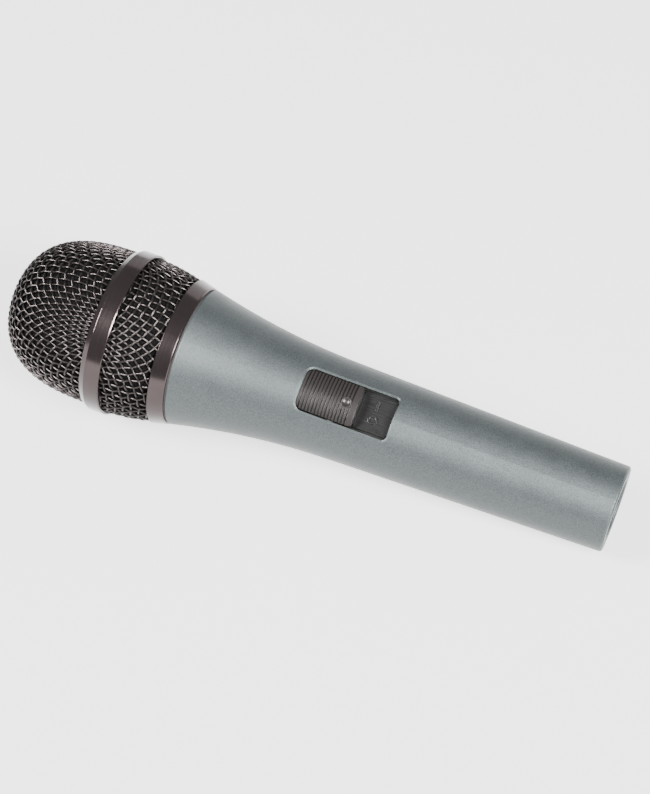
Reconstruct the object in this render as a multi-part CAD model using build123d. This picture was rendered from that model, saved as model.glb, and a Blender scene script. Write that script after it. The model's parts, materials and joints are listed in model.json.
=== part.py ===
from build123d import *
import os
from math import atan2, cos, degrees, pi, radians, sin, tan

# A handheld dynamic vocal microphone with a slide switch, lying on its side.
#
# Each piece is drawn upright: the microphone's own axis is Z, the rim at its tail is at
# height 0, the tip of its grille is at LENGTH, and the switch is on the +X side.
# lay_down() then puts the whole microphone on its side, resting on the grille's band and on
# the tail's rim, with the origin under the middle of its box. All sizes are in millimetres.

# ---- Driving dimensions ---------------------------------------------------------------

LENGTH = 182.5              # tail rim to the tip of the grille
SWITCH_ROLL = 28.4          # degrees that the switch is rolled from the top towards -Y

# Handle
TAIL_RADIUS = 12.45
TAIL_CHAMFER = 0.5
FLARE_START = 81.0          # height where the straight taper turns into the flare
FLARE_RADIUS = 14.3
NECK_HEIGHT = 127.3         # the shoulder that the grille screws down to
NECK_RADIUS = 20.3
SHOULDER_ROUND = 0.4
WALL = 2.3

# Threaded neck above the shoulder
SPIGOT_TOP = 136.5
SPIGOT_BORE = 16.8
THREAD_ROOT = 18.5
THREAD_CREST = 19.05
THREAD_PITCH = 1.0
THREAD_TURNS = 7

# Grille
GASKET_THICKNESS = 0.4
COLLAR_FRONT = 132.4
COLLAR_REAR_RADIUS = 20.6
COLLAR_FRONT_RADIUS = 21.7
SLEEVE_RADIUS = 19.75       # the part of the collar that reaches in under the mesh
BAND_REAR = 146.0
BAND_FRONT = 152.2
BAND_RADIUS = 24.2
BAND_FRONT_RADIUS = 23.2
MESH_THICKNESS = 1.0
MESH_FOAM_GAP = 0.1
CONE_REAR_RADIUS = 21.3     # outside of the tapered mesh at the collar
CONE_FRONT_RADIUS = 23.4    # and at the band
CONE_BULGE = 0.55
DOME_RADIUS = 23.05
DOME_EXPONENT = 2.7         # between an ellipse, 2, and a box
DOME_FOAM = 3.0
CONE_FOAM = 2.0

# Switch
WINDOW_MIDDLE = 78.6
WINDOW_LENGTH = 27.2
WINDOW_WIDTH = 12.5
WINDOW_ROUND = (1.4, 2.3)   # rounding of the corners towards the tail and towards the grille
WINDOW_STEPS = ((0.45, 0.2), (0.25, 0.4))   # width and depth of the steps that break its rim
SWITCH_TRAVEL = 9.8
KNOB_LENGTH = 16.7
KNOB_WIDTH = 11.7
KNOB_ROUND = (0.8, 2.0)
KNOB_CROWN = 14.3           # its top follows a cylinder of this radius about the axis
KNOB_GROOVES = 15
KNOB_GROOVE_PITCH = 0.985
KNOB_GROOVE_DEPTH = 0.42
DIMPLE_RADIUS = 1.25
DIMPLE_DEPTH = 0.5
PLATE_TOP = 10.8            # distance from the axis
PLATE_THICKNESS = 1.2
RAIL_OFFSET = 4.9           # sideways, from the switch's middle to each rail
RAIL_WIDTH = 0.7
CHANNEL_DEPTH = 0.7         # of the channel between each rail and the window's side
SIGN_HEIGHT = 70.6          # where the two signs stand on the plate
SIGN_RELIEF = 0.35
LEDGE_THICKNESS = 2.0
STEM_OFFSET = 3.0           # how far the stem sits towards the grille from the knob's middle
STEM_HALF = 1.4
CAN_HALF = 8.3              # half the length of the switch inside
CAN_WIDTH = 6.4
SCREW_OFFSET = 4.85         # sideways, from the switch's middle to each of its screws

# Connector, the three-pin audio plug of every professional microphone
SOCKET_RADIUS = 8.15
SOCKET_DEPTH = 15.0
INSERT_LENGTH = 9.0
PIN_RADIUS = 1.19
PIN_CIRCLE = 3.9
PIN_TIP = 2.3               # how far the pins' tips stay inside the rim
PIN_TAIL = 29.0

# Capsule
CAPSULE_RADIUS = 16.0
CAPSULE_SHOULDER = 142.0
CAPSULE_FRONT = 160.0
CAP_THICKNESS = 3.4
STEM_RADIUS = 11.5
STEM_REAR = 118.0
CAPSULE_WALL = 1.2
MAGNET_RADIUS = 7.6
MAGNET_BASE = 146.0
MAGNET_HEIGHT = 5.5
POLE_RADIUS = 8.0
POLE_THICKNESS = 2.2
YOKE_RADIUS = 11.6
YOKE_FLOOR = 2.5
COIL_GAP = 0.25
COIL_THICKNESS = 0.55
FILM = 0.2
FILM_RADIUS = 13.4
FILM_HEIGHT = 155.2
FILM_SEAT = 153.0           # the foot of the ring that clamps the film

WIRE_RADIUS = 0.55

# ---- Sizes worked out from them -------------------------------------------------------

GASKET_TOP = NECK_HEIGHT + GASKET_THICKNESS
SLEEVE_TOP = SPIGOT_TOP + 1.8
DOME_HEIGHT = LENGTH - BAND_FRONT
BAND_FOOT = BAND_REAR + 0.3                  # the band's widest circle nearest to the tail
LEAN = degrees(atan2(BAND_RADIUS - TAIL_RADIUS, BAND_FOOT - TAIL_CHAMFER))
PLATE_BOTTOM = PLATE_TOP - PLATE_THICKNESS
LEDGE_BOTTOM = PLATE_BOTTOM - LEDGE_THICKNESS
KNOB_HIGH = WINDOW_MIDDLE + WINDOW_LENGTH / 2 - 0.15
KNOB_LOW = KNOB_HIGH - KNOB_LENGTH
KNOB_MIDDLE = (KNOB_HIGH + KNOB_LOW) / 2
STEM_MIDDLE = KNOB_MIDDLE + STEM_OFFSET
STROKE_MIDDLE = STEM_MIDDLE - SWITCH_TRAVEL / 2   # the stem's middle at half travel
SLOT_HALF = SWITCH_TRAVEL / 2 + STEM_HALF + 0.1
MAGNET_TOP = MAGNET_BASE + MAGNET_HEIGHT
POLE_TOP = MAGNET_TOP + POLE_THICKNESS

BASE = (Align.CENTER, Align.CENTER, Align.MIN)


# ---- Shared shapes --------------------------------------------------------------------

def disc(radius, low, high):
    """A cylinder about the axis."""
    return Pos(0, 0, low) * Cylinder(radius, high - low, align=BASE)


def ring(outer, inner, low, high):
    """A plain ring about the axis."""
    return disc(outer, low, high) - disc(inner, low - 1, high + 1)


def block(x_span, y_span, z_span):
    """A box between two values on each axis."""
    spans = (x_span, y_span, z_span)
    middle = [(low + high) / 2 for low, high in spans]
    size = [high - low for low, high in spans]
    return Pos(*middle) * Box(*size)


def spun(outline):
    """The solid that a closed outline of (radius, height) makes as it turns about the axis."""
    return revolve(Plane.XZ * make_face(outline), Axis.Z)


def polygon(*corners):
    """A closed outline with straight sides."""
    return Polyline(*corners, close=True)


def rounded_prism(middle, length, width, roundings, low, high):
    """A prism along X with its long side along Z, rounded by one radius at each of its ends."""
    outline = Rectangle(width, length)
    for end, rounding in enumerate(roundings):
        corners = outline.vertices().group_by(Axis.Y)[-end]
        outline = fillet(corners, rounding)
    return Pos(low, 0, 0) * extrude(Plane.YZ * Pos(0, middle) * outline, high - low)


def window_prism(low, high, wider=0):
    """A prism of the window's outline, made wider all round."""
    roundings = [rounding + wider for rounding in WINDOW_ROUND]
    return rounded_prism(WINDOW_MIDDLE, WINDOW_LENGTH + 2 * wider, WINDOW_WIDTH + 2 * wider,
                         roundings, low, high)


def wire(points):
    """A lead along straight runs joined by arcs as large as the runs allow."""
    corners = [Vector(*point) for point in points]
    radii = []
    for before, corner, after in zip(corners, corners[1:], corners[2:]):
        arriving = corner - before
        leaving = after - corner
        half_turn = radians(arriving.get_angle(leaving)) / 2
        radii.append(0.45 * min(arriving.length, leaving.length) / tan(half_turn))
    path = FilletPolyline(*corners, radius=radii)
    section = Plane(origin=path @ 0, z_dir=path % 0) * Circle(WIRE_RADIUS)
    return sweep(section, path=path)


# ---- Handle ---------------------------------------------------------------------------

def handle_outside(inset=0):
    """The cast handle before it is hollowed, with its sides drawn in by inset."""
    tail_radius = TAIL_RADIUS - inset
    neck_radius = NECK_RADIUS - inset
    tail = Polyline((0, 0), (tail_radius - TAIL_CHAMFER, 0), (tail_radius, TAIL_CHAMFER))
    taper = Line((tail_radius, TAIL_CHAMFER), (FLARE_RADIUS - inset, FLARE_START))
    flare = TangentArc(taper @ 1, (neck_radius, NECK_HEIGHT), tangent=taper % 1)
    neck = Polyline(
        (neck_radius, NECK_HEIGHT),
        (THREAD_ROOT, NECK_HEIGHT),
        (THREAD_ROOT, SPIGOT_TOP),
        (0, SPIGOT_TOP),
        (0, 0),
    )
    body = spun(Curve() + [tail, taper, flare, neck])
    shoulder = body.edges().filter_by(GeomType.CIRCLE).filter_by(
        lambda edge: abs(edge.radius - neck_radius) < 0.01
    )
    return fillet(shoulder, SHOULDER_ROUND)


def handle_bore():
    """What the handle is hollowed by: the socket, a step, the taper and flare, the neck."""
    seat_end = SOCKET_DEPTH + INSERT_LENGTH + 6
    seat_radius = TAIL_RADIUS + (FLARE_RADIUS - TAIL_RADIUS) * seat_end / FLARE_START - WALL
    lower = Polyline(
        (0, -1),
        (SOCKET_RADIUS + 0.4 + 1, -1),
        (SOCKET_RADIUS, 0.4),
        (SOCKET_RADIUS, seat_end - 3),
        (seat_radius, seat_end),
    )
    taper = Line(lower @ 1, (FLARE_RADIUS - WALL, FLARE_START))
    flare = TangentArc(taper @ 1, (SPIGOT_BORE, NECK_HEIGHT - 4), tangent=taper % 1)
    upper = Polyline(flare @ 1, (SPIGOT_BORE, SPIGOT_TOP + 1), (0, SPIGOT_TOP + 1), (0, -1))
    return spun(Curve() + [lower, taper, flare, upper])


def neck_thread():
    """The ridges of the neck's thread, as rings."""
    ridges = Part()
    for turn in range(THREAD_TURNS):
        foot = SPIGOT_TOP - 0.6 - (turn + 1) * THREAD_PITCH
        ridges += spun(polygon(
            (THREAD_ROOT - 0.2, foot),
            (THREAD_CREST, foot + 0.4),
            (THREAD_CREST, foot + 0.5),
            (THREAD_ROOT - 0.2, foot + 0.9),
        ))
    return ridges


def handle_shell():
    """Cast tube with the switch window and its ledge, the neck thread and the socket."""
    outside = handle_outside()
    half = WINDOW_LENGTH / 2 + 2
    ledge = block(
        (LEDGE_BOTTOM, TAIL_RADIUS),
        (-WINDOW_WIDTH / 2 - 1, WINDOW_WIDTH / 2 + 1),
        (WINDOW_MIDDLE - half, WINDOW_MIDDLE + half),
    )
    shell = outside - handle_bore() + (outside & ledge)
    shell -= window_prism(PLATE_BOTTOM, 20)
    for width, depth in WINDOW_STEPS:
        shell -= window_prism(PLATE_TOP, 20, width) - handle_outside(depth)
    shell -= rounded_prism(WINDOW_MIDDLE, WINDOW_LENGTH - 4, 7.8, (1, 1),
                           LEDGE_BOTTOM - 1, PLATE_BOTTOM + 1)
    shell -= switch_screw_holes(LEDGE_BOTTOM - 1, PLATE_BOTTOM + 1)
    shell -= connector_screw_hole(-TAIL_RADIUS - 2, 0)
    shell -= block((0, SOCKET_RADIUS + 1.0), (-1.3, 1.3), (-1, 11))
    shell -= block((0, SOCKET_RADIUS + 1.7), (-1.7, 1.7), (6.5, 9.2))
    return shell + neck_thread()


# ---- Connector ------------------------------------------------------------------------

def pin_places():
    """Where the three pins stand: two level with the axis, the third away from the key."""
    return [(0, PIN_CIRCLE), (0, -PIN_CIRCLE), (-PIN_CIRCLE, 0)]


def connector_screw_hole(outer, inner):
    """The radial hole for the grub screw, opposite the switch."""
    height = SOCKET_DEPTH + INSERT_LENGTH / 2
    drill = Cylinder(1.5, inner - outer, rotation=(0, 90, 0))
    return Pos((outer + inner) / 2, 0, height) * drill


def connector_insert():
    """The moulded insulator at the bottom of the socket."""
    front, rear = SOCKET_DEPTH, SOCKET_DEPTH + INSERT_LENGTH
    insert = spun(polygon(
        (0, front),
        (SOCKET_RADIUS - 1.2, front),
        (SOCKET_RADIUS - 0.7, front + 0.5),
        (SOCKET_RADIUS - 0.05, front + 0.5),
        (SOCKET_RADIUS - 0.05, rear),
        (SOCKET_RADIUS - 2.5, rear),
        (SOCKET_RADIUS - 2.5, rear - 2.5),
        (0, rear - 2.5),
    ))
    for x, y in pin_places():
        insert += Pos(x, y, 0) * disc(PIN_RADIUS + 0.9, front - 0.6, front + 0.2)
        insert -= Pos(x, y, 0) * disc(PIN_RADIUS, front - 2, rear + 2)
    return insert - connector_screw_hole(-SOCKET_RADIUS - 1, -SOCKET_RADIUS + 1.6)


def connector_pins():
    """Three contact pins with round tips and a solder cup at the back."""
    pins = []
    for x, y in pin_places():
        pin = disc(PIN_RADIUS, PIN_TIP, PIN_TAIL)
        pin = fillet(pin.edges().sort_by(Axis.Z)[0], 0.9)
        pin -= disc(0.75, PIN_TAIL - 3, PIN_TAIL + 1)
        pins.append(Pos(x, y, 0) * pin)
    return Compound(children=pins)


def connector_screw():
    """A grub screw with a hexagon socket."""
    height = SOCKET_DEPTH + INSERT_LENGTH / 2
    outer, inner = -TAIL_RADIUS - 0.05, -SOCKET_RADIUS + 1.5
    screw = connector_screw_hole(outer, inner)
    key = Pos(outer - 0.2, 0, height) * Rot(0, 90, 0) * extrude(RegularPolygon(0.85, 6), 1.8)
    return screw - key


def ground_lug():
    """A spring strip from the back of the third pin to the wall of the handle."""
    rear = SOCKET_DEPTH + INSERT_LENGTH
    foot = block((-SOCKET_RADIUS + 0.9, -SOCKET_RADIUS + 1.3), (-1.2, 1.2), (rear, rear + 5.6))
    arm = block((-SOCKET_RADIUS + 1.3, -PIN_CIRCLE - PIN_RADIUS), (-1.2, 1.2), (rear + 1, rear + 1.4))
    toe = block((-10.0, -SOCKET_RADIUS + 0.9), (-1.2, 1.2), (rear + 5.2, rear + 5.6))
    return foot + arm + toe


# ---- Switch ---------------------------------------------------------------------------

def switch_screw_holes(low, high):
    """Two holes along X for the screws that hang the switch under the window."""
    holes = Part()
    for side in (-1, 1):
        drill = Cylinder(0.8, high - low, rotation=(0, 90, 0))
        holes += Pos((low + high) / 2, side * SCREW_OFFSET, STROKE_MIDDLE) * drill
    return holes


def stem_slot(low, high):
    """The slot that the stem slides in, between two distances from the axis."""
    return block((low, high), (-1.3, 1.3), (STROKE_MIDDLE - SLOT_HALF, STROKE_MIDDLE + SLOT_HALF))


def switch_plate():
    """The plate at the bottom of the window, with a rail along each side and two signs."""
    plate = window_prism(PLATE_BOTTOM, PLATE_TOP, -0.05)
    for side in (-1, 1):
        plate -= channel(side)
    plate -= stem_slot(PLATE_BOTTOM - 1, PLATE_TOP + 1)
    plate -= switch_screw_holes(PLATE_BOTTOM - 1, PLATE_TOP + 1)
    for side in (-1, 1):
        head_seat = Cylinder(1.4, 1.0, rotation=(0, 90, 0))
        plate -= Pos(PLATE_TOP - 0.2, side * SCREW_OFFSET, STROKE_MIDDLE) * head_seat
        plate += block(
            (PLATE_TOP - 0.2, PLATE_TOP + 0.35),
            (side * RAIL_OFFSET - RAIL_WIDTH / 2, side * RAIL_OFFSET + RAIL_WIDTH / 2),
            (WINDOW_MIDDLE - WINDOW_LENGTH / 2 + 0.6, KNOB_LOW - 0.2),
        )
    return plate + on_sign() + off_sign()


def channel(side):
    """The channel between a rail and the window's side."""
    inner, outer = RAIL_OFFSET + RAIL_WIDTH / 2, WINDOW_WIDTH / 2 - 0.35
    middle, half = side * (inner + outer) / 2, (outer - inner) / 2
    return block((PLATE_TOP - CHANNEL_DEPTH, PLATE_TOP + 1), (middle - half, middle + half),
                 (WINDOW_MIDDLE - WINDOW_LENGTH / 2 + 0.6, WINDOW_MIDDLE + WINDOW_LENGTH / 2 - 2))


def on_sign():
    """A raised bar, across the switch."""
    return block((PLATE_TOP - 0.1, PLATE_TOP + SIGN_RELIEF), (1.1, 3.8),
                 (SIGN_HEIGHT - 0.3, SIGN_HEIGHT + 0.3))


def off_sign():
    """A raised ring."""
    outer = Cylinder(1.35, SIGN_RELIEF + 0.1, rotation=(0, 90, 0))
    inner = Cylinder(0.85, 1.0, rotation=(0, 90, 0))
    return Pos(PLATE_TOP + (SIGN_RELIEF - 0.1) / 2, -1.5, SIGN_HEIGHT) * (outer - inner)


def switch_screws():
    """Two small pan-head screws with a cross slot."""
    screws = []
    for side in (-1, 1):
        shank = Cylinder(0.78, 5.0, rotation=(0, 90, 0))
        head = Cylinder(1.35, 0.6, rotation=(0, 90, 0))
        screw = Pos(PLATE_TOP - 0.6 - 2.5, 0, 0) * shank + Pos(PLATE_TOP - 0.35, 0, 0) * head
        screw -= block((PLATE_TOP - 0.3, PLATE_TOP + 1), (-0.9, 0.9), (-0.15, 0.15))
        screw -= block((PLATE_TOP - 0.3, PLATE_TOP + 1), (-0.15, 0.15), (-0.9, 0.9))
        screws.append(Pos(0, side * SCREW_OFFSET, STROKE_MIDDLE) * screw)
    return Compound(children=screws)


def switch_bracket():
    """The strap that the screws pull up against the ledge."""
    half, hole_half = CAN_HALF + 2.0, CAN_HALF + 0.1
    strap = block((LEDGE_BOTTOM - 0.9, LEDGE_BOTTOM), (-6.2, 6.2),
                  (STROKE_MIDDLE - half, STROKE_MIDDLE + half))
    opening = block((LEDGE_BOTTOM - 2, LEDGE_BOTTOM + 1),
                    (-CAN_WIDTH / 2 - 0.05, CAN_WIDTH / 2 + 0.05),
                    (STROKE_MIDDLE - hole_half, STROKE_MIDDLE + hole_half))
    return strap - opening - switch_screw_holes(LEDGE_BOTTOM - 2, LEDGE_BOTTOM + 1)


def can_block(low, high, inset=0):
    """A box the size of the switch's can, drawn in by inset, between two distances."""
    side = CAN_WIDTH / 2 - inset
    half = CAN_HALF - inset
    return block((low, high), (-side, side), (STROKE_MIDDLE - half, STROKE_MIDDLE + half))


def switch_housing():
    """The can of the slide switch, open below and slotted above for the stem."""
    can = can_block(2.6, PLATE_BOTTOM - 0.6)
    return can - can_block(2.0, PLATE_BOTTOM - 1.2, 0.5) - stem_slot(4, PLATE_TOP)


def switch_base():
    """The board that closes the can and holds the terminals."""
    board = can_block(2.0, 2.6)
    for y, z in terminal_places():
        board -= block((1, 3), (y - 0.5, y + 0.5), (z - 0.25, z + 0.25))
    return board


def terminal_places():
    """Two rows of three terminals."""
    return [(y, STROKE_MIDDLE + z) for y in (-1.6, 1.6) for z in (-5.5, 0, 5.5)]


def switch_terminals():
    """Six flat terminals with a solder tail below the board and a contact face above it."""
    terminals = []
    for y, z in terminal_places():
        tail = block((-1.4, 3.0), (y - 0.5, y + 0.5), (z - 0.25, z + 0.25))
        face = block((3.0, 3.3), (y - 0.8, y + 0.8), (z - 1.4, z + 1.4))
        terminals.append(tail + face)
    return Compound(children=terminals)


def switch_actuator():
    """The block that carries the contacts, with the stem that reaches up to the knob."""
    carriage = block((4.6, 7.4), (-2.6, 2.6), (STEM_MIDDLE - 2.8, STEM_MIDDLE + 2.8))
    stem = block((7.0, 12.2), (-1.2, 1.2), (STEM_MIDDLE - STEM_HALF, STEM_MIDDLE + STEM_HALF))
    return carriage + stem


def switch_contacts():
    """Two bow contacts under the carriage, one to each row of terminals."""
    contacts = []
    for y in (-1.6, 1.6):
        bow = ThreePointArc((-2.6, 4.5), (0, 3.6), (2.6, 4.5))
        strip = offset(bow, 0.1, side=Side.BOTH)
        section = Plane(origin=(0, y - 0.6, STEM_MIDDLE), x_dir=(0, 0, 1), z_dir=(0, 1, 0))
        contacts.append(extrude(section * make_face(strip), 1.2))
    return Compound(children=contacts)


def knob_groove(height):
    """One groove across the knob, sharp-edged above and flat below."""
    floor = KNOB_CROWN - KNOB_GROOVE_DEPTH
    return spun(polygon(
        (floor, height - 0.12),
        (floor, height + 0.12),
        (KNOB_CROWN + 0.1, height + 0.3),
        (KNOB_CROWN + 0.1, height - 0.3),
    ))


def switch_knob():
    """The grooved button, crowned like the handle, with a round dimple near its tail end."""
    blank = rounded_prism(KNOB_MIDDLE, KNOB_LENGTH, KNOB_WIDTH, KNOB_ROUND, PLATE_TOP + 0.45, 20)
    knob = blank & disc(KNOB_CROWN, KNOB_LOW - 1, KNOB_HIGH + 1)
    last = KNOB_HIGH - 0.95
    for index in range(KNOB_GROOVES):
        knob -= knob_groove(last - index * KNOB_GROOVE_PITCH)
    dimple = Pos(0, 0.1, KNOB_LOW + 3.3)
    rim = Cylinder(DIMPLE_RADIUS + 0.25, KNOB_CROWN - PLATE_TOP - 1, align=BASE, rotation=(0, 90, 0))
    knob += dimple * Pos(PLATE_TOP + 1, 0, 0) * rim
    ball_radius = (DIMPLE_RADIUS ** 2 + DIMPLE_DEPTH ** 2) / (2 * DIMPLE_DEPTH)
    knob -= dimple * Pos(KNOB_CROWN - DIMPLE_DEPTH + ball_radius, 0, 0) * Sphere(ball_radius)
    socket = block((PLATE_TOP, 12.3), (-1.25, 1.25),
                   (STEM_MIDDLE - STEM_HALF - 0.05, STEM_MIDDLE + STEM_HALF + 0.05))
    return knob - socket


# ---- Capsule --------------------------------------------------------------------------

def capsule_housing():
    """The stepped cup: a wide chamber in front and a narrow stem behind."""
    wall = CAPSULE_WALL
    return spun(polygon(
        (STEM_RADIUS - 2.5, STEM_REAR),
        (STEM_RADIUS, STEM_REAR),
        (STEM_RADIUS, CAPSULE_SHOULDER),
        (CAPSULE_RADIUS, CAPSULE_SHOULDER),
        (CAPSULE_RADIUS, CAPSULE_FRONT),
        (CAPSULE_RADIUS - wall, CAPSULE_FRONT),
        (CAPSULE_RADIUS - wall, CAPSULE_SHOULDER + wall),
        (STEM_RADIUS - wall, CAPSULE_SHOULDER + wall),
        (STEM_RADIUS - wall, STEM_REAR + 1.5),
        (STEM_RADIUS - 2.5, STEM_REAR + 1.5),
    ))


def capsule_cap():
    """The front grid: a shallow cap with rings of round holes."""
    low, high = CAPSULE_FRONT + 0.02, CAPSULE_FRONT + CAP_THICKNESS
    cap = disc(CAPSULE_RADIUS, low, high) - disc(CAPSULE_RADIUS - 1.4, low - 1, high - 1.2)
    cap = chamfer(cap.edges().sort_by(Axis.Z)[-1], 0.6)
    for count, radius in ((1, 0), (6, 4.4), (12, 8.6), (18, 12.4)):
        for hole in PolarLocations(radius, count):
            cap -= hole * disc(1.0, low - 1, high + 1)
    return cap


def dust_cloth():
    """The silk under the cap."""
    top = CAPSULE_FRONT + CAP_THICKNESS - 1.25
    return disc(CAPSULE_RADIUS - 1.5, top - 0.3, top)


def diaphragm_ring():
    """The ring that clamps the film's edge, on its own step in the housing."""
    wide = CAPSULE_RADIUS - CAPSULE_WALL - 0.05
    return ring(wide, FILM_RADIUS + 0.1, FILM_SEAT, FILM_HEIGHT + 1.6)


def diaphragm():
    """The film: a dome in the middle, a rolled edge round it, and a lip for the coil."""
    coil = POLE_RADIUS + COIL_GAP + COIL_THICKNESS / 2
    crown = ThreePointArc((0, FILM_HEIGHT + 2.2), (coil * 0.55, FILM_HEIGHT + 1.5), (coil, FILM_HEIGHT))
    roll_top = ((coil + FILM_RADIUS) / 2, FILM_HEIGHT + 1.0)
    roll = ThreePointArc((coil, FILM_HEIGHT), roll_top, (FILM_RADIUS, FILM_HEIGHT))
    below = Polyline((FILM_RADIUS, FILM_HEIGHT), (FILM_RADIUS, FILM_HEIGHT - 2),
                     (0, FILM_HEIGHT - 2), (0, FILM_HEIGHT + 2.2))
    filled = spun(Curve() + [crown, roll, below])
    return filled - Pos(0, 0, -FILM) * filled


def voice_coil():
    """The coil, hanging from the film into the gap between pole piece and yoke."""
    inner = POLE_RADIUS + COIL_GAP
    return ring(inner + COIL_THICKNESS, inner, POLE_TOP - 3.0, FILM_HEIGHT - FILM - 0.02)


def magnet():
    """The magnet, on the yoke's floor."""
    return disc(MAGNET_RADIUS, MAGNET_BASE, MAGNET_TOP)


def pole_piece():
    """The soft-iron disc on the magnet."""
    pole = disc(POLE_RADIUS, MAGNET_TOP, POLE_TOP)
    return chamfer(pole.edges().sort_by(Axis.Z)[-1], 0.3)


def yoke_cup():
    """The steel cup that carries the field round the magnet."""
    gap_wall = POLE_RADIUS + 2 * COIL_GAP + COIL_THICKNESS
    return spun(polygon(
        (0, MAGNET_BASE - YOKE_FLOOR),
        (YOKE_RADIUS, MAGNET_BASE - YOKE_FLOOR),
        (YOKE_RADIUS, POLE_TOP),
        (gap_wall, POLE_TOP),
        (gap_wall, MAGNET_BASE),
        (0, MAGNET_BASE),
    ))


def rear_felt():
    """The felt behind the magnet, across the mouth of the stem."""
    return disc(STEM_RADIUS - CAPSULE_WALL - 0.1, MAGNET_BASE - YOKE_FLOOR - 3.5,
                MAGNET_BASE - YOKE_FLOOR - 0.4)


def terminal_board():
    """The solder board on the end of the stem, with its two lugs."""
    board = disc(STEM_RADIUS - 0.6, STEM_REAR - 1.4, STEM_REAR - 0.02)
    for side in (-1, 1):
        board += Pos(0, side * 4, 0) * disc(1.3, STEM_REAR - 2.2, STEM_REAR - 1.2)
    return board


def shock_mount():
    """The rubber ring, with a groove in each face so that it can flex."""
    inner, outer = STEM_RADIUS + 0.15, CAPSULE_RADIUS - 0.5
    mount = ring(outer, inner, 128.0, 137.0)
    groove_inner, groove_outer = inner + 1.1, outer - 1.1
    mount -= ring(groove_outer, groove_inner, 133.5, 138.0)
    return mount - ring(groove_outer, groove_inner, 127.0, 131.0)


def capsule_carrier():
    """The plastic ring that sits on the neck and holds the shock mount."""
    return spun(polygon(
        (STEM_RADIUS + 1.2, 126.0),
        (SPIGOT_BORE - 0.05, 126.0),
        (SPIGOT_BORE - 0.05, SPIGOT_TOP + 0.02),
        (THREAD_ROOT, SPIGOT_TOP + 0.02),
        (THREAD_ROOT, SPIGOT_TOP + 1.4),
        (CAPSULE_RADIUS - 0.45, SPIGOT_TOP + 1.4),
        (CAPSULE_RADIUS - 0.45, 127.95),
        (STEM_RADIUS + 1.2, 127.95),
    ))


# ---- Grille ---------------------------------------------------------------------------

def dome_curve(inset):
    """The dome's outline from the band to the tip, drawn in by inset."""
    radius, height = DOME_RADIUS - inset, DOME_HEIGHT - inset
    steps = 8
    points = []
    for step in range(steps):
        angle = step / steps * pi / 2
        power = 2 / DOME_EXPONENT
        points.append((radius * cos(angle) ** power, BAND_FRONT + height * sin(angle) ** power))
    points.append((0, BAND_FRONT + height))
    return Spline(points, tangents=[(0, 1), (-1, 0)])


def dome_shell(outer_inset, inner_inset, low):
    """A shell between two insets of the dome, with a straight skirt down to height low."""
    outside = dome_curve(outer_inset)
    inside = dome_curve(inner_inset)
    skirt = Polyline(outside @ 0, ((outside @ 0).X, low), ((inside @ 0).X, low), inside @ 0)
    crown = Line(outside @ 1, inside @ 1)
    return spun(Curve() + [outside, crown, inside, skirt])


def cone_curve(inset, low, high):
    """The tapered mesh's slightly bulging side between two heights, drawn in by inset."""
    span = BAND_REAR - COLLAR_FRONT

    def radius(height):
        share = (height - COLLAR_FRONT) / span
        bulge = 4 * CONE_BULGE * share * (1 - share)
        return CONE_REAR_RADIUS + share * (CONE_FRONT_RADIUS - CONE_REAR_RADIUS) + bulge - inset

    middle = (low + high) / 2
    return ThreePointArc((radius(low), low), (radius(middle), middle), (radius(high), high))


def cone_shell(outer_inset, inner_inset, low, high):
    """A shell between two insets of the tapered side."""
    outside = cone_curve(outer_inset, low, high)
    inside = cone_curve(inner_inset, low, high)
    return spun(Curve() + [outside, Line(outside @ 1, inside @ 1), inside,
                           Line(inside @ 0, outside @ 0)])


def front_mesh():
    """The wire dome, as a shell as thick as its crossed wires."""
    return dome_shell(0, MESH_THICKNESS, BAND_FRONT - 2.4)


def rear_mesh():
    """The tapered wire cup, as a shell as thick as its crossed wires."""
    return cone_shell(0, MESH_THICKNESS, COLLAR_FRONT, BAND_REAR + 0.9)


def front_foam():
    """The pop filter inside the dome."""
    outer = MESH_THICKNESS + MESH_FOAM_GAP
    return dome_shell(outer, outer + DOME_FOAM, BAND_FRONT - 2.4)


def rear_foam():
    """The lining of the tapered mesh, squeezed thin between it and the collar's sleeve."""
    outer = MESH_THICKNESS + MESH_FOAM_GAP
    lining = cone_shell(outer, outer + CONE_FOAM, COLLAR_FRONT + 0.05, BAND_REAR + 0.9)
    return lining - disc(SLEEVE_RADIUS + 0.05, COLLAR_FRONT - 1, SLEEVE_TOP + 0.05)


def grille_band():
    """The band that both meshes are pressed into, with a bevel in front."""
    bevel = BAND_RADIUS - BAND_FRONT_RADIUS
    web_low, web_high = BAND_REAR + 1.0, BAND_FRONT - 2.5
    return spun(polygon(
        (CONE_FRONT_RADIUS + 0.15, BAND_REAR),
        (BAND_RADIUS - 0.15, BAND_REAR),
        (BAND_RADIUS, BAND_FOOT),
        (BAND_RADIUS, BAND_FRONT - 1.6 * bevel),
        (BAND_FRONT_RADIUS + 0.1, BAND_FRONT),
        (DOME_RADIUS + 0.03, BAND_FRONT),
        (DOME_RADIUS + 0.03, web_high),
        (DOME_RADIUS - 2.0, web_high),
        (DOME_RADIUS - 2.0, web_low),
        (CONE_FRONT_RADIUS + 0.15, web_low),
    ))


def grille_collar():
    """The threaded ring: a flared rim with a sleeve that the rear mesh sits round."""
    bore = THREAD_CREST + 0.12
    return spun(polygon(
        (bore, GASKET_TOP + 0.02),
        (COLLAR_REAR_RADIUS - 0.3, GASKET_TOP + 0.02),
        (COLLAR_REAR_RADIUS, GASKET_TOP + 0.32),
        (COLLAR_FRONT_RADIUS, COLLAR_FRONT - 0.35),
        (COLLAR_FRONT_RADIUS - 0.35, COLLAR_FRONT - 0.02),
        (SLEEVE_RADIUS, COLLAR_FRONT - 0.02),
        (SLEEVE_RADIUS, SLEEVE_TOP),
        (bore, SLEEVE_TOP),
    ))


def neck_gasket():
    """The thin ring that the collar screws down on."""
    return ring(NECK_RADIUS - 0.3, THREAD_CREST + 0.12, NECK_HEIGHT + 0.01, GASKET_TOP)


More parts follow.
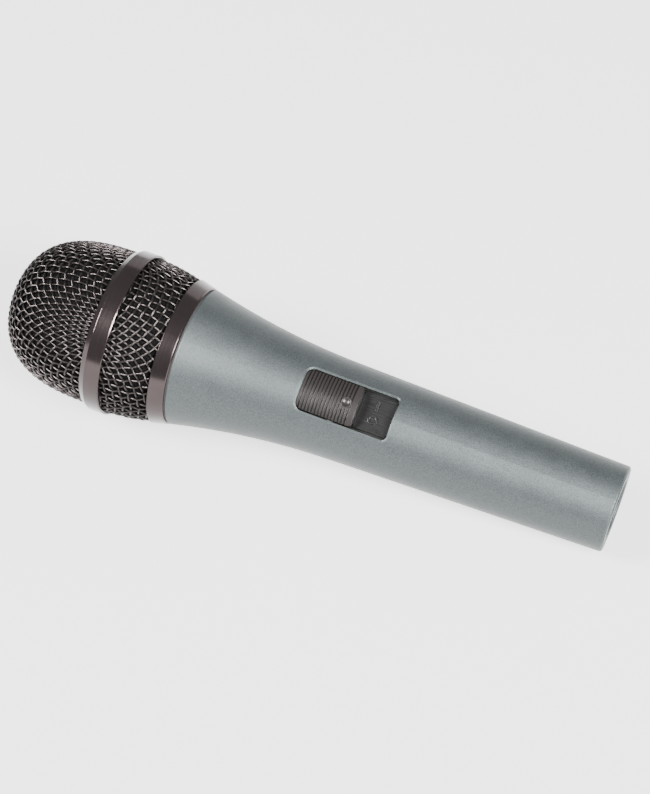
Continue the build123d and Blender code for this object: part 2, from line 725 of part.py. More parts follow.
# ---- Wiring ---------------------------------------------------------------------------

def capsule_lead(side):
    """A lead from the terminal board down to the switch's nearest terminal."""
    low_y, low_z = side * 1.6, STROKE_MIDDLE + 5.5
    return wire([
        (0, side * 4.0, STEM_REAR - 2.2),
        (0, side * 4.0, STEM_REAR - 8),
        (-3.5, side * 5.4, STEM_REAR - 18),
        (-5.0, side * 3.6, low_z + 6),
        (-3.8, low_y, low_z),
        (-1.4, low_y, low_z),
    ])


def output_lead(side):
    """A lead from the switch's lowest terminal down to a signal pin."""
    high_y, high_z = side * 1.6, STROKE_MIDDLE - 5.5
    return wire([
        (-1.4, high_y, high_z),
        (-4.2, high_y, high_z),
        (-5.6, side * 3.4, high_z - 10),
        (-3.2, side * 5.6, high_z - 24),
        (0, side * PIN_CIRCLE, PIN_TAIL + 6),
        (0, side * PIN_CIRCLE, PIN_TAIL),
    ])


def ground_lead():
    """The lead from the ground pin up to the switch's middle terminal."""
    return wire([
        (-PIN_CIRCLE, 0, PIN_TAIL),
        (-PIN_CIRCLE, 0, PIN_TAIL + 5),
        (-6.6, -1.2, PIN_TAIL + 16),
        (-7.0, 0.8, STROKE_MIDDLE - 16),
        (-4.4, 1.6, STROKE_MIDDLE),
        (-1.4, 1.6, STROKE_MIDDLE),
    ])


# ---- The whole microphone -------------------------------------------------------------

def pieces():
    """Every piece by name, drawn upright."""
    return {
        "handle_shell": handle_shell(),
        "connector_insert": connector_insert(),
        "connector_pins": connector_pins(),
        "connector_screw": connector_screw(),
        "ground_lug": ground_lug(),
        "switch_plate": switch_plate(),
        "switch_screws": switch_screws(),
        "switch_bracket": switch_bracket(),
        "switch_housing": switch_housing(),
        "switch_base": switch_base(),
        "switch_terminals": switch_terminals(),
        "switch_actuator": switch_actuator(),
        "switch_contacts": switch_contacts(),
        "switch_knob": switch_knob(),
        "capsule_housing": capsule_housing(),
        "capsule_cap": capsule_cap(),
        "dust_cloth": dust_cloth(),
        "diaphragm_ring": diaphragm_ring(),
        "diaphragm": diaphragm(),
        "voice_coil": voice_coil(),
        "magnet": magnet(),
        "pole_piece": pole_piece(),
        "yoke_cup": yoke_cup(),
        "rear_felt": rear_felt(),
        "terminal_board": terminal_board(),
        "shock_mount": shock_mount(),
        "capsule_carrier": capsule_carrier(),
        "front_mesh": front_mesh(),
        "rear_mesh": rear_mesh(),
        "front_foam": front_foam(),
        "rear_foam": rear_foam(),
        "grille_band": grille_band(),
        "grille_collar": grille_collar(),
        "neck_gasket": neck_gasket(),
        "capsule_lead_live": capsule_lead(1),
        "capsule_lead_return": capsule_lead(-1),
        "output_lead_live": output_lead(1),
        "output_lead_return": output_lead(-1),
        "ground_lead": ground_lead(),
    }


def lay_down(upright):
    """The placement that lays the microphone down, from its upright ends."""
    leaned = Rot(0, -(90 - LEAN), 0) * Rot(0, 0, -SWITCH_ROLL)
    ends = Compound(children=[leaned * upright["handle_shell"], leaned * upright["front_mesh"]])
    box = ends.bounding_box()
    lean = radians(LEAN)
    floor = TAIL_CHAMFER * sin(lean) - TAIL_RADIUS * cos(lean)
    return Pos(-box.center().X, 0, -floor) * leaned


if __name__ == "__main__":
    os.makedirs("parts", exist_ok=True)
    upright = pieces()
    placement = lay_down(upright)
    for name, piece in upright.items():
        export_step(placement * piece, f"parts/{name}.step")
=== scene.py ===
"""The looks of a handheld dynamic microphone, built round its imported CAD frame.

The woven wire of the grille and its foam linings are made here. Every other piece is the CAD
node itself with a procedural material. Sizes in this file are in millimetres unless a name
says otherwise, and are turned into metres where a mesh, light or camera is made.
"""
import json
from math import atan2, cos, hypot, pi, radians, sin, tau

import bpy
import numpy as np
from mathutils import Matrix, Vector, noise


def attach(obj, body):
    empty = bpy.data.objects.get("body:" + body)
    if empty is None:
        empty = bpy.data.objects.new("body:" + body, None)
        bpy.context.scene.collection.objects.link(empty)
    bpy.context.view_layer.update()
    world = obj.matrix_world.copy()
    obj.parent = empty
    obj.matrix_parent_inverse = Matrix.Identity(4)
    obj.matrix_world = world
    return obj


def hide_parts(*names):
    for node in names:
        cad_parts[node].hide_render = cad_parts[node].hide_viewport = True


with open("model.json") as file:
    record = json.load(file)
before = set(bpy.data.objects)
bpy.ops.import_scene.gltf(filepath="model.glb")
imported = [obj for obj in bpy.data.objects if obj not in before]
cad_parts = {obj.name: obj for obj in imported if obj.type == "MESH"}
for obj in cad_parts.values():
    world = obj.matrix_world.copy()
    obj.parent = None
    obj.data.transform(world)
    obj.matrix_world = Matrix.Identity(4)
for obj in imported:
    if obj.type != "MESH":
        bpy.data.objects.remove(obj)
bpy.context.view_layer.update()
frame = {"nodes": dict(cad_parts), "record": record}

MM = 0.001

# ---- The microphone's own axes: x up, y sideways, z from the tail's rim to the grille -----

tail_mount = next(m for m in frame["record"]["mounts"] if m["name"] == "plug_socket")
HEAD = -Vector(tail_mount["axis"]).normalized()
SIDE = Vector((0, 1, 0))
TOP = SIDE.cross(HEAD).normalized()
TURN = Matrix((TOP, SIDE, HEAD)).transposed()
OWN = Matrix.Translation(Vector(tail_mount["pos_m"])) @ TURN.to_4x4()


def own_points(node):
    """A CAD node's vertices along the microphone's own axes, in millimetres."""
    mesh = frame["nodes"][node].data
    points = np.empty(len(mesh.vertices) * 3)
    mesh.vertices.foreach_get("co", points)
    points = points.reshape(-1, 3) - np.array(OWN.translation)
    return points @ np.array(TURN) / MM


def span(node):
    """A CAD node's lowest and highest place along the axis, and its largest radius."""
    points = own_points(node)
    return points[:, 2].min(), points[:, 2].max(), np.hypot(points[:, 0], points[:, 1]).max()


def outer_radius(node, height, reach=0.6):
    """A CAD node's largest radius near one height."""
    points = own_points(node)
    near = points[abs(points[:, 2] - height) < reach]
    return np.hypot(near[:, 0], near[:, 1]).max()


# ---- Sizes --------------------------------------------------------------------------------

BAND_HIGH = span("grille_band")[1]
DOME_FOOT, TIP, DOME_RADIUS = span("front_mesh")
CONE_FOOT, CONE_TOP, CONE_TOP_RADIUS = span("rear_mesh")
CONE_FOOT_RADIUS = outer_radius("rear_mesh", CONE_FOOT)
LINING_FOOT = span("rear_foam")[0]
SLEEVE_TOP = span("grille_collar")[1]
SLEEVE_RADIUS = 19.8        # the lining is squeezed thin outside the collar's sleeve
DOME_EXPONENT = 2.7         # as in the CAD dome
CONE_BULGE = 0.55           # how far the tapered mesh swells halfway up
CUP_CORNER = 1.0            # radius of the corner of the cup that the tapered mesh is cut from
MESH_THICKNESS = 1.0        # two crossed wires
LINING_GAP = 0.1
LINING_INSET = MESH_THICKNESS + LINING_GAP
DOME_LINING = 3.0           # thickness of the foam
CONE_LINING = 2.0

WIRE = 0.25                 # radius of the wire
CRIMP = 0.24                # how far each wire swings to either side of the cloth's middle
DOME_PITCH = (2.32, 2.2)    # from one crossing to the next, at the pole and at the end
CUP_PITCH = (2.42, 2.2)
DOME_EASE = 0.3             # how far the pressed cloth has given, from 0 to 1
CUP_EASE = 0.5
DOME_TURN = 0.0             # where a wire runs straight down from the tip, round from the top
CONE_TURN = radians(-10)
SPARE_CLOTH = 8.0           # the weave is laid this far past its mesh, then cut
DOME_CUT = 0.3              # the dome's wires end this far above its foot, inside the band
FOOT_CUT = 0.2              # the tapered mesh's wires reach this far below its foot
TOP_CUT = 0.1               # and end this far below its top

WIRE_STEPS = 6              # straight pieces of wire from one crossing to the next
WIRE_SIDES = 8
SHORTEST_WIRE = 3           # in points: shorter cuttings are dropped
DOME_STEPS = 400            # points along the dome's outline
FLOOR_STEPS = 40            # points along the cup's floor, corner and side
CORNER_STEPS = 30
SIDE_STEPS = 120

FOAM_SIDES = 120
FOAM_STEPS = 40             # points along each face of a lining
CONE_FOAM_STEPS = 60        # points along the tapered lining's outline
FOAM_DENT = 0.07            # half the depth of the deepest dent
FOAM_DENT_SCALE = 0.9       # dents for each millimetre
FOAM_SPREAD = 20.0          # keeps the dents from closing the lining at the pole
FOAM_SINK = 0.3             # share of a dent's depth that goes down the axis
FOAM_POLE = 0.02            # radius of the lining's innermost ring


# ---- Outlines of the two meshes, from the pole outwards -----------------------------------

class Outline:
    """A curve of radius against height, found by its length from the pole.

    Cloth pressed over it has a pitch that changes evenly from the pole to the end, and gives
    by the share "ease" towards an unsheared lay, because pressing also stretches the wires.
    """

    def __init__(self, radius, height, pitches=(1, 1), ease=0):
        self.pitches = pitches
        self.ease = ease
        self.radius = np.asarray(radius, float)
        self.height = np.asarray(height, float)
        steps = np.hypot(np.diff(self.radius), np.diff(self.height))
        self.length = np.concatenate([[0], np.cumsum(steps)])
        self.end = self.length[-1]
        self.radius_slope = np.gradient(self.radius, self.length)
        self.height_slope = np.gradient(self.height, self.length)

    def at(self, length):
        """Radius, height and their slopes at a length from the pole."""
        curves = (self.radius, self.height, self.radius_slope, self.height_slope)
        return [np.interp(length, self.length, curve) for curve in curves]

    def pitch(self, length):
        """The distance from one crossing to the next at a length from the pole."""
        return np.interp(length, (0, self.end), self.pitches)


def dome_outline(inset, foot):
    """From the tip of the dome to its foot, drawn in by inset, with a straight skirt."""
    angles = np.linspace(pi / 2, 0, DOME_STEPS)
    power = 2 / DOME_EXPONENT
    radius = (DOME_RADIUS - inset) * np.cos(angles).clip(0) ** power
    height = BAND_HIGH + (TIP - BAND_HIGH - inset) * np.sin(angles) ** power
    return Outline(np.append(radius, radius[-1]), np.append(height, foot), DOME_PITCH, DOME_EASE)


def cone_radius(height, inset):
    """The tapered mesh's radius at a height."""
    share = (height - CONE_FOOT) / (CONE_TOP - CONE_FOOT)
    bulge = 4 * CONE_BULGE * share * (1 - share)
    return CONE_FOOT_RADIUS + share * (CONE_TOP_RADIUS - CONE_FOOT_RADIUS) + bulge - inset


def cup_outline(inset, top):
    """The tapered mesh as the cup it is pressed from: a flat floor, a round corner, the side."""
    floor_end = cone_radius(CONE_FOOT, inset) - CUP_CORNER
    floor = np.linspace(0, floor_end, FLOOR_STEPS)
    angles = np.linspace(-pi / 2, 0, CORNER_STEPS)[1:]
    heights = np.linspace(CONE_FOOT, top, SIDE_STEPS)[1:]
    corner_radius = floor_end + CUP_CORNER * np.cos(angles)
    corner_height = CONE_FOOT + CUP_CORNER * np.sin(angles)
    radius = np.concatenate([floor, corner_radius, cone_radius(heights, inset)])
    floor_height = np.full(FLOOR_STEPS, CONE_FOOT - CUP_CORNER)
    height = np.concatenate([floor_height, corner_height, heights])
    return Outline(radius, height, CUP_PITCH, CUP_EASE)


# ---- Woven wire ---------------------------------------------------------------------------

FARTHEST_APART = 1.98       # in pitches: farther crossings have no common neighbour
SEARCH_STEPS = 14
LONGEST_STEP = 1.0          # millimetres along the outline
WIDEST_STEP = 0.3           # radians round the axis
LARGEST_MISS = 0.01         # square millimetres
UPRIGHT = np.array([0, 0, 1.0])
MISSING = np.full(3, np.nan)


def is_missing(point):
    """Whether no crossing was found at this place of the net."""
    return np.isnan(point).any()


def place(outline, length, angle):
    """The point of the turned outline at a length and an angle, and its two slopes."""
    radius, height, radius_slope, height_slope = outline.at(length)
    across = np.array([cos(angle), sin(angle), 0])
    along = np.array([-sin(angle), cos(angle), 0])
    point = radius * across + height * UPRIGHT
    return point, radius_slope * across + height_slope * UPRIGHT, radius * along


def next_crossing(outline, first, second):
    """The crossing one pitch away from two others, on the side away from the pole."""
    start, _, _ = place(outline, *first)
    other, _, _ = place(outline, *second)
    pitch = outline.pitch((first[0] + second[0]) / 2)
    if np.linalg.norm(start - other) > FARTHEST_APART * pitch:
        return None
    length = max(first[0], second[0]) + 0.5 * pitch
    angle = (first[1] + second[1]) / 2
    for _ in range(SEARCH_STEPS):
        point, by_length, by_angle = place(outline, length, angle)
        gaps = np.array([point - start, point - other])
        miss = (gaps ** 2).sum(1) - pitch ** 2
        slopes = 2 * np.stack([gaps @ by_length, gaps @ by_angle], axis=1)
        step = np.linalg.lstsq(slopes, miss, rcond=None)[0]
        length -= float(np.clip(step[0], -LONGEST_STEP, LONGEST_STEP))
        angle -= float(np.clip(step[1], -WIDEST_STEP, WIDEST_STEP))
    if abs(miss).max() > LARGEST_MISS or length > outline.end:
        return None
    return length, angle


def straight_lengths(outline):
    """Lengths from the pole of the crossings on a wire that runs straight down."""
    lengths = [0.0]
    while lengths[-1] < outline.end:
        lengths.append(lengths[-1] + float(outline.pitch(lengths[-1])))
    return lengths


def pressed_net(outline, lengths):
    """Where wires cross in a quarter of a square weave that is laid over a turned surface.

    Two wires cross squarely at the pole and run straight down. Every other crossing is one
    pitch along each of its two wires from the crossings before it, as in a pressed weave.
    """
    count = len(lengths) - 1
    crossings = {}
    for step, length in enumerate(lengths[:count]):
        crossings[step, 0] = (length, 0.0)
        crossings[0, step] = (length, pi / 2 if step else 0.0)
    for row in range(1, count):
        for column in range(1, count):
            first = crossings.get((row - 1, column))
            second = crossings.get((row, column - 1))
            found = first and second and next_crossing(outline, first, second)
            if found:
                crossings[row, column] = found
    return crossings


def quarter_net(outline):
    """The pressed net after it has given towards an unsheared lay, and its count of rows."""
    lengths = straight_lengths(outline)
    crossings = pressed_net(outline, lengths)
    for (row, column), (length, angle) in crossings.items():
        level_length = np.interp(hypot(row, column), range(len(lengths)), lengths)
        level_angle = atan2(column, row)
        crossings[row, column] = (
            length + outline.ease * (level_length - length),
            angle + outline.ease * (level_angle - angle),
        )
    return crossings, len(lengths) - 1


def whole_net(outline, turn):
    """All crossings with the outward direction at each, by row and column from the pole."""
    crossings, count = quarter_net(outline)
    points = np.full((2 * count - 1, 2 * count - 1, 3), np.nan)
    outwards = points.copy()
    spin = np.array([[cos(turn), sin(turn), 0], [-sin(turn), cos(turn), 0], [0, 0, 1]])
    for (row, column), (length, angle) in crossings.items():
        point, by_length, _ = place(outline, length, angle)
        radial = np.array([cos(angle), sin(angle), 0])
        outward = radial * by_length[2] - UPRIGHT * (by_length @ radial)
        for x in (-1, 1):
            for y in (-1, 1):
                flip = np.array([x, y, 1])
                at = count - 1 + x * row, count - 1 + y * column
                points[at] = (point * flip) @ spin
                outwards[at] = (outward * flip) @ spin
    return points, outwards


def stretch_of_wire(points, index):
    """The ends of the stretch from one crossing to the next, and the wire's slopes at them."""
    start, end = points[index], points[index + 1]
    before = points[index - 1] if index else MISSING
    after = points[index + 2] if index + 2 < len(points) else MISSING
    before = 2 * start - end if is_missing(before) else before
    after = 2 * end - start if is_missing(after) else after
    return start, end, (end - before) / 2, (after - start) / 2


def curve_point(start, end, leave, arrive, share):
    """The point at a share of the way along the cubic with these ends and slopes."""
    square, cube = share ** 2, share ** 3
    return (
        start * (2 * cube - 3 * square + 1)
        + leave * (cube - 2 * square + share)
        + end * (3 * square - 2 * cube)
        + arrive * (cube - square)
    )


def wire_path(points, outwards, first_over):
    """A wire's centre through its crossings, swinging over and under, with outward directions."""
    path, out = [], []
    for index in range(len(points) - 1):
        if is_missing(points[index]) or is_missing(points[index + 1]):
            path.append(MISSING)
            out.append(MISSING)
            continue
        stretch = stretch_of_wire(points, index)
        side = 1 if (index % 2 == 0) == first_over else -1
        for step in range(WIRE_STEPS):
            share = step / WIRE_STEPS
            outward = outwards[index] * (1 - share) + outwards[index + 1] * share
            outward /= np.linalg.norm(outward)
            path.append(curve_point(*stretch, share) + outward * CRIMP * side * cos(pi * share))
            out.append(outward)
    return np.array(path), np.array(out)


def runs(path, low, high):
    """The stretches of a wire that lie between two heights."""
    inside = ~np.isnan(path[:, 0])
    inside[inside] = (path[inside, 2] > low) & (path[inside, 2] < high)
    edges = np.flatnonzero(np.diff(np.concatenate([[0], inside.astype(int), [0]])))
    pairs = zip(edges[::2], edges[1::2])
    return [(start, end) for start, end in pairs if end - start > SHORTEST_WIRE]


def add_tube(vertices, faces, path, outwards):
    """Adds a round wire along a path to a mesh in the making."""
    along = np.gradient(path, axis=0)
    along /= np.linalg.norm(along, axis=1, keepdims=True)
    across = np.cross(along, outwards)
    across /= np.linalg.norm(across, axis=1, keepdims=True)
    over = np.cross(across, along)
    first = len(vertices)
    turns = np.arange(WIRE_SIDES) * tau / WIRE_SIDES
    rings = (
        path[:, None, :]
        + WIRE * np.cos(turns)[None, :, None] * over[:, None, :]
        + WIRE * np.sin(turns)[None, :, None] * across[:, None, :]
    )
    vertices.extend(rings.reshape(-1, 3).tolist())
    for ring in range(len(path) - 1):
        here = first + ring * WIRE_SIDES
        ahead = here + WIRE_SIDES
        for side in range(WIRE_SIDES):
            beside = (side + 1) % WIRE_SIDES
            faces.append((here + side, here + beside, ahead + beside, ahead + side))
    last = first + (len(path) - 1) * WIRE_SIDES
    faces.append(tuple(range(first, first + WIRE_SIDES))[::-1])
    faces.append(tuple(range(last, last + WIRE_SIDES)))


def mesh_piece(name, vertices, faces, material):
    """A smooth piece from points on the microphone's own axes."""
    points = (np.array(vertices) * MM) @ np.array(TURN).T + np.array(OWN.translation)
    mesh = bpy.data.meshes.new(name)
    mesh.from_pydata(points.tolist(), [], faces)
    mesh.polygons.foreach_set("use_smooth", [True] * len(mesh.polygons))
    mesh.materials.append(material)
    piece = bpy.data.objects.new(name, mesh)
    bpy.context.scene.collection.objects.link(piece)
    return piece


def woven_pieces(name, outline, turn, low, high, material):
    """Both sets of wires of one mesh, each as one piece."""
    points, outwards = whole_net(outline, turn)
    pieces = []
    for suffix, first_over in (("warp", True), ("weft", False)):
        vertices, faces = [], []
        for index in range(len(points)):
            over = first_over == (index % 2 == 0)
            path, out = wire_path(points[index], outwards[index], over)
            for start, end in runs(path, low, high):
                add_tube(vertices, faces, path[start:end], out[start:end])
        pieces.append(mesh_piece(f"{name}_{suffix}", vertices, faces, material))
        points, outwards = points.swapaxes(0, 1), outwards.swapaxes(0, 1)
    return pieces


# ---- Foam linings -------------------------------------------------------------------------

def foam_profile(outer, inner):
    """Radius and height round a lining's section: out along one outline, back along the other."""
    profile = []
    for outline, order in ((outer, 1), (inner, -1)):
        for length in np.linspace(0, outline.end, FOAM_STEPS)[::order]:
            radius, height, _, _ = outline.at(length)
            profile.append((max(float(radius), FOAM_POLE), float(height)))
    return profile


def foam_point(radius, height, turn):
    """A point of a lining's skin, dented as cut foam is."""
    point = Vector((radius * cos(turn), radius * sin(turn), height))
    dent = FOAM_DENT * (1 + noise.noise(point * FOAM_DENT_SCALE))
    shrink = 1 - dent / hypot(radius, FOAM_SPREAD)
    return point.x * shrink, point.y * shrink, point.z - dent * FOAM_SINK


def lining(name, outer, inner, material):
    """A closed foam shell between two outlines."""
    profile = foam_profile(outer, inner)
    vertices = []
    for radius, height in profile:
        for side in range(FOAM_SIDES):
            vertices.append(foam_point(radius, height, tau * side / FOAM_SIDES))
    faces = []
    for ring in range(len(profile)):
        here, there = ring * FOAM_SIDES, (ring + 1) % len(profile) * FOAM_SIDES
        for side in range(FOAM_SIDES):
            beside = (side + 1) % FOAM_SIDES
            faces.append((here + side, here + beside, there + beside, there + side))
    return mesh_piece(name, vertices, faces, material)


# ---- Materials ----------------------------------------------------------------------------

class Look:
    """A material in the making: a Principled shader with textures measured in millimetres."""

    def __init__(self, name, colour, roughness, metallic=0.0, **sockets):
        self.material = bpy.data.materials.new(name)
        self.material.use_nodes = True
        self.tree = self.material.node_tree
        self.shader = self.tree.nodes["Principled BSDF"]
        self.shader.inputs["Base Color"].default_value = (*colour, 1)
        self.shader.inputs["Roughness"].default_value = roughness
        self.shader.inputs["Metallic"].default_value = metallic
        for socket, value in sockets.items():
            self.shader.inputs[socket.replace("_", " ")].default_value = value

    def make(self, kind, inputs=None, **settings):
        """Adds a node. Inputs are values or other nodes' outputs."""
        made = self.tree.nodes.new(kind)
        for setting, value in settings.items():
            setattr(made, setting, value)
        for socket, value in (inputs or {}).items():
            if isinstance(value, bpy.types.NodeSocket):
                self.tree.links.new(value, made.inputs[socket])
            else:
                made.inputs[socket].default_value = value
        return made

    def use(self, socket, output):
        """Feeds an output into the shader."""
        self.tree.links.new(output, self.shader.inputs[socket])

    def own_axes(self, stretch=(1, 1, 1)):
        """Coordinates along the microphone's own axes, in millimetres, then stretched."""
        source = self.make("ShaderNodeTexCoord").outputs["Object"]
        back = TURN.transposed()
        placed = self.make("ShaderNodeMapping", {
            "Vector": source,
            "Rotation": back.to_euler(),
            "Scale": (1 / MM, 1 / MM, 1 / MM),
            "Location": -(back @ OWN.translation) / MM,
        })
        inputs = {0: placed.outputs[0], 1: stretch}
        return self.make("ShaderNodeVectorMath", inputs, operation="MULTIPLY").outputs[0]

    def grain(self, size, detail=3.0, stretch=(1, 1, 1)):
        """Noise with features of about this size."""
        return self.make("ShaderNodeTexNoise", {
            "Vector": self.own_axes(stretch), "Scale": 1 / size, "Detail": detail,
        }).outputs["Fac"]

    def flecks(self, size):
        """A value from 0 to 1 that is the same all over each small cell."""
        cells = self.make("ShaderNodeTexVoronoi", {"Vector": self.own_axes(), "Scale": 1 / size})
        return self.make("ShaderNodeSeparateColor", {"Color": cells.outputs["Color"]}).outputs[0]

    def between(self, factor, low, high, start, end):
        """Maps a factor's range from start to end onto values from low to high."""
        return self.make("ShaderNodeMapRange", {
            "Value": factor, "From Min": start, "From Max": end, "To Min": low, "To Max": high,
        }).outputs[0]

    def blend(self, factor, first, second):
        """A colour between two colours."""
        inputs = {"Factor": factor, 6: (*first, 1), 7: (*second, 1)}
        return self.make("ShaderNodeMix", inputs, data_type="RGBA").outputs[2]

    def bump(self, height, depth, soft_edge=0.0):
        """Bumps of a height in millimetres, over edges rounded by a radius in millimetres."""
        inputs = {"Height": height, "Distance": depth * MM, "Strength": 1.0}
        if soft_edge:
            inputs["Normal"] = self.rounded_edge(soft_edge)
        self.use("Normal", self.make("ShaderNodeBump", inputs).outputs[0])

    def rounded_edge(self, radius):
        """A normal that rounds the edges of the CAD solid."""
        return self.make("ShaderNodeBevel", {"Radius": radius * MM}, samples=6).outputs[0]


NOISE_RANGE = (0.3, 0.7)    # where nearly all of a noise texture's values lie


def handle_paint():
    """Satin grey-green metallic paint: fine flakes under a thin clear coat."""
    dark_flake = (0.045, 0.0515, 0.052)
    bright_flake = (0.081, 0.092, 0.093)
    look = Look("handle_paint", (0.063, 0.072, 0.073), 0.5, 0.9,
                Coat_Weight=0.15, Coat_Roughness=0.35)
    flakes = look.flecks(0.16)
    look.use("Base Color", look.blend(flakes, dark_flake, bright_flake))
    look.use("Roughness", look.between(look.grain(6), 0.47, 0.53, *NOISE_RANGE))
    look.bump(flakes, 0.006, 0.25)
    return look.material


def gunmetal():
    """Dark plated metal with a warm tone and faint turning marks."""
    dark_patch = (0.052, 0.041, 0.041)
    bright_patch = (0.064, 0.051, 0.051)
    look = Look("gunmetal", (0.062, 0.049, 0.049), 0.17, 0.95)
    marks = look.grain(0.35, stretch=(0.04, 0.04, 1))
    look.use("Base Color", look.blend(look.grain(5), dark_patch, bright_patch))
    look.use("Roughness", look.between(marks, 0.14, 0.2, *NOISE_RANGE))
    look.bump(marks, 0.003, 0.2)
    return look.material


def mesh_wire():
    """Dark enamelled steel wire."""
    dark_speck = (0.032, 0.0274, 0.0268)
    bright_speck = (0.062, 0.0536, 0.0524)
    look = Look("mesh_wire", (0.047, 0.04, 0.039), 0.29, 0.95)
    speckle = look.grain(0.4)
    look.use("Base Color", look.blend(speckle, dark_speck, bright_speck))
    look.use("Roughness", look.between(speckle, 0.24, 0.34, *NOISE_RANGE))
    look.bump(look.grain(0.15), 0.006)
    return look.material


def foam():
    """Open black foam: pores of a few tenths of a millimetre, their dents darkened with painted
    shade.
    """
    # painted shade: the dents of the pores are coloured darker than the strands around them
    pore_shade = (0.001, 0.001, 0.001)
    strand = (0.005, 0.0047, 0.0047)
    pores_per_mm = 2.2
    look = Look("foam", (0.003, 0.003, 0.003), 1.0, Specular_IOR_Level=0.0)
    cells = look.make("ShaderNodeTexVoronoi", {"Vector": look.own_axes(), "Scale": pores_per_mm})
    distance = cells.outputs["Distance"]
    # the pores' dents take the painted shade, the strands between them keep the foam's own colour
    look.use("Base Color", look.blend(look.between(distance, 0, 1, 0.1, 0.6), pore_shade, strand))
    look.bump(distance, 0.25)
    return look.material


def moulded(name, colour, roughness, depth=0.012, stretch=(1, 1, 1), **sockets):
    """Moulded plastic with a fine spark-eroded grain, or lines where the grain is stretched."""
    look = Look(name, colour, roughness, **sockets)
    grain = look.grain(0.25, stretch=stretch)
    dark = [0.75 * part for part in colour]
    look.use("Base Color", look.blend(look.grain(3), dark, colour))
    look.use("Roughness", look.between(grain, roughness * 0.85, roughness * 1.15, *NOISE_RANGE))
    look.bump(grain, depth, 0.12)
    return look.material


def brushed(name, colour, roughness, metallic=1.0):
    """Drawn or turned metal: fine lines along the microphone."""
    look = Look(name, colour, roughness, metallic)
    lines = look.grain(0.3, stretch=(1, 1, 0.05))
    dark = [0.8 * part for part in colour]
    look.use("Base Color", look.blend(lines, dark, colour))
    look.use("Roughness", look.between(lines, roughness * 0.8, roughness * 1.2, *NOISE_RANGE))
    look.bump(lines, 0.004, 0.08)
    return look.material


def woven_cloth(name, colour, size):
    """Thin cloth or felt: crossed fibres."""
    look = Look(name, colour, 0.95, Sheen_Weight=0.3)
    fibres = look.grain(size, 5)
    dark = [0.6 * part for part in colour]
    look.use("Base Color", look.blend(fibres, dark, colour))
    look.bump(fibres, 0.08)
    return look.material


MATERIALS = {
    "handle_paint": handle_paint(),
    "gunmetal": gunmetal(),
    "mesh_wire": mesh_wire(),
    "foam": foam(),
    "black_plastic": moulded("black_plastic", (0.003, 0.003, 0.0028), 0.3, 0.04, (1, 1, 0.06),
                             Specular_IOR_Level=0.4),
    "knob_plastic": moulded("knob_plastic", (0.01, 0.0084, 0.008), 0.34, 0.004,
                            Specular_IOR_Level=0.32),
    "plated_metal": brushed("plated_metal", (0.66, 0.64, 0.6), 0.25),
    "dark_steel": brushed("dark_steel", (0.14, 0.14, 0.14), 0.4),
    "rubber": moulded("rubber", (0.015, 0.015, 0.015), 0.75),
    "board": moulded("board", (0.3, 0.19, 0.08), 0.6),
    "lead_red": moulded("lead_red", (0.45, 0.03, 0.03), 0.4),
    "lead_black": moulded("lead_black", (0.02, 0.02, 0.02), 0.4),
    "cloth": woven_cloth("cloth", (0.1, 0.1, 0.1), 0.2),
    "felt": woven_cloth("felt", (0.4, 0.38, 0.34), 0.4),
    "film": moulded("film", (0.75, 0.73, 0.66), 0.2),
    "copper": brushed("copper", (0.62, 0.3, 0.15), 0.35),
}


def dress_cad_nodes():
    """Gives each CAD node the material of its slot in the record."""
    for part in frame["record"]["subparts"]:
        node = frame["nodes"][part["node"]]
        if not node.material_slots:
            node.data.materials.append(None)
        for slot in node.material_slots:
            slot.material = MATERIALS[part["material_slot"]]


# ---- The grille ---------------------------------------------------------------------------

def dome_wires():
    """The dome's two sets of wires."""
    cloth = dome_outline(MESH_THICKNESS / 2, DOME_FOOT - SPARE_CLOTH)
    return woven_pieces("dome_wire", cloth, DOME_TURN, DOME_FOOT + DOME_CUT, TIP + SPARE_CLOTH,
                        MATERIALS["mesh_wire"])


def cup_wires():
    """The tapered mesh's two sets of wires."""
    cloth = cup_outline(MESH_THICKNESS / 2, CONE_TOP + SPARE_CLOTH)
    return woven_pieces("cup_wire", cloth, CONE_TURN, CONE_FOOT - FOOT_CUT, CONE_TOP - TOP_CUT,
                        MATERIALS["mesh_wire"])


def dome_foam():
    """The dome's lining."""
    outer = dome_outline(LINING_INSET, DOME_FOOT)
    inner = dome_outline(LINING_INSET + DOME_LINING, DOME_FOOT)
    return lining("dome_lining", outer, inner, MATERIALS["foam"])


def cup_foam():
    """The tapered mesh's lining, thin where the collar's sleeve squeezes it."""
    heights = np.linspace(CONE_TOP, LINING_FOOT, CONE_FOAM_STEPS)
    inside = cone_radius(heights, LINING_INSET + CONE_LINING)
    inside[heights < SLEEVE_TOP] = SLEEVE_RADIUS
    outer = Outline(cone_radius(heights, LINING_INSET), heights)
    return lining("cup_lining", outer, Outline(inside, heights), MATERIALS["foam"])


def stand_for(piece, node):
    """Lets a piece move with the grille, in the place of a CAD node."""
    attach(piece, "grille")
    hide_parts(node)


def build_grille():
    """The two wire meshes and the foam that lines them."""
    wires_of = {"front_mesh": dome_wires(), "rear_mesh": cup_wires()}
    foam_of = {"front_foam": dome_foam(), "rear_foam": cup_foam()}
    for node, wires in wires_of.items():
        for wire in wires:
            stand_for(wire, node)
    for node, piece in foam_of.items():
        stand_for(piece, node)


# ---- Floor, light and camera --------------------------------------------------------------

AZIMUTH = 21.95             # degrees that the camera stands to the right of the front
ELEVATION = 48.59
DISTANCE = 0.622            # metres to AIM
AIM = Vector((0.00139, 0.00698, 0.014))
LENS = 98.4                 # millimetres
SENSOR = 36                 # millimetres
NEAREST = 0.01              # metres: nothing closer to the camera is drawn

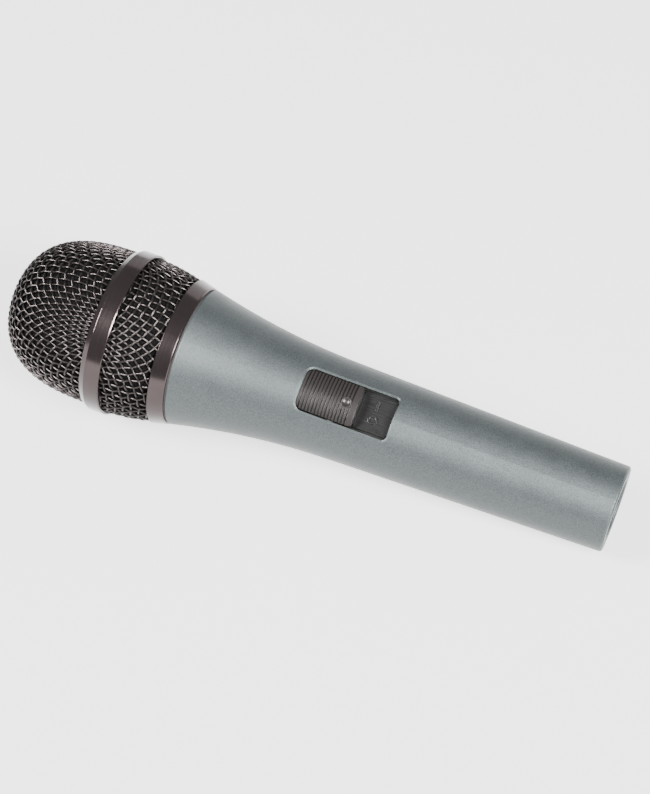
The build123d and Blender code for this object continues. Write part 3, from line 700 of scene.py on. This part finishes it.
FLOOR_GLOW = 2.0            # the floor is a lit white table
FLOOR_HALF = 3.0            # metres
FLOOR_PATCHES = (0.215, 0.225)
WORLD_COLOUR = (0.97, 0.98, 1.0)
WORLD_STRENGTH = 0.5
SOFTBOXES = (               # name, place and width in metres, radiance
    ("key_left", (-0.8, -0.56, 0.89), 0.5, 105),
    ("key_right", (0.92, -0.56, 0.87), 0.5, 145),
    ("backdrop", (0, 2.2, 0.6), 1.4, 1.5),
)


def sight(azimuth, elevation):
    """The unit vector of a line of sight."""
    side, down = radians(azimuth), radians(elevation)
    return Vector((-sin(side) * cos(down), cos(side) * cos(down), -sin(down)))


def add_camera():
    """The camera, level, looking along its line of sight."""
    data = bpy.data.cameras.new("camera")
    data.lens = LENS
    data.sensor_width = SENSOR
    data.clip_start = NEAREST
    camera = bpy.data.objects.new("camera", data)
    line = sight(AZIMUTH, ELEVATION)
    camera.location = AIM - DISTANCE * line
    camera.rotation_euler = line.to_track_quat("-Z", "Y").to_euler()
    bpy.context.scene.collection.objects.link(camera)
    bpy.context.scene.camera = camera


def add_softbox(name, place, size, radiance):
    """A square light aimed at the microphone, as bright as radiance all over."""
    data = bpy.data.lights.new(name, "AREA")
    data.shape = "SQUARE"
    data.size = size
    data.energy = radiance * pi * size * size
    light = bpy.data.objects.new(name, data)
    light.location = place
    light.rotation_euler = (-Vector(place)).to_track_quat("-Z", "Y").to_euler()
    bpy.context.scene.collection.objects.link(light)


def add_world():
    """Even, pale light from all round."""
    world = bpy.data.worlds.new("studio")
    world.use_nodes = True
    background = world.node_tree.nodes["Background"]
    background.inputs["Color"].default_value = (*WORLD_COLOUR, 1)
    background.inputs["Strength"].default_value = WORLD_STRENGTH
    bpy.context.scene.world = world


def add_floor():
    """A wide pale floor that the microphone lies on."""
    look = Look("floor", (0.22, 0.22, 0.22), 0.9, Specular_IOR_Level=0.1,
                Emission_Color=(1, 1, 1, 1), Emission_Strength=FLOOR_GLOW)
    dark, light = [(patch, patch, patch) for patch in FLOOR_PATCHES]
    look.use("Base Color", look.blend(look.grain(40), dark, light))
    corners = [(x * FLOOR_HALF, y * FLOOR_HALF, 0) for x, y in ((-1, -1), (1, -1), (1, 1), (-1, 1))]
    mesh = bpy.data.meshes.new("floor")
    mesh.from_pydata(corners, [], [(0, 1, 2, 3)])
    mesh.materials.append(look.material)
    floor = bpy.data.objects.new("floor", mesh)
    bpy.context.scene.collection.objects.link(floor)


dress_cad_nodes()
build_grille()
add_floor()
add_world()
for softbox in SOFTBOXES:
    add_softbox(*softbox)
add_camera()
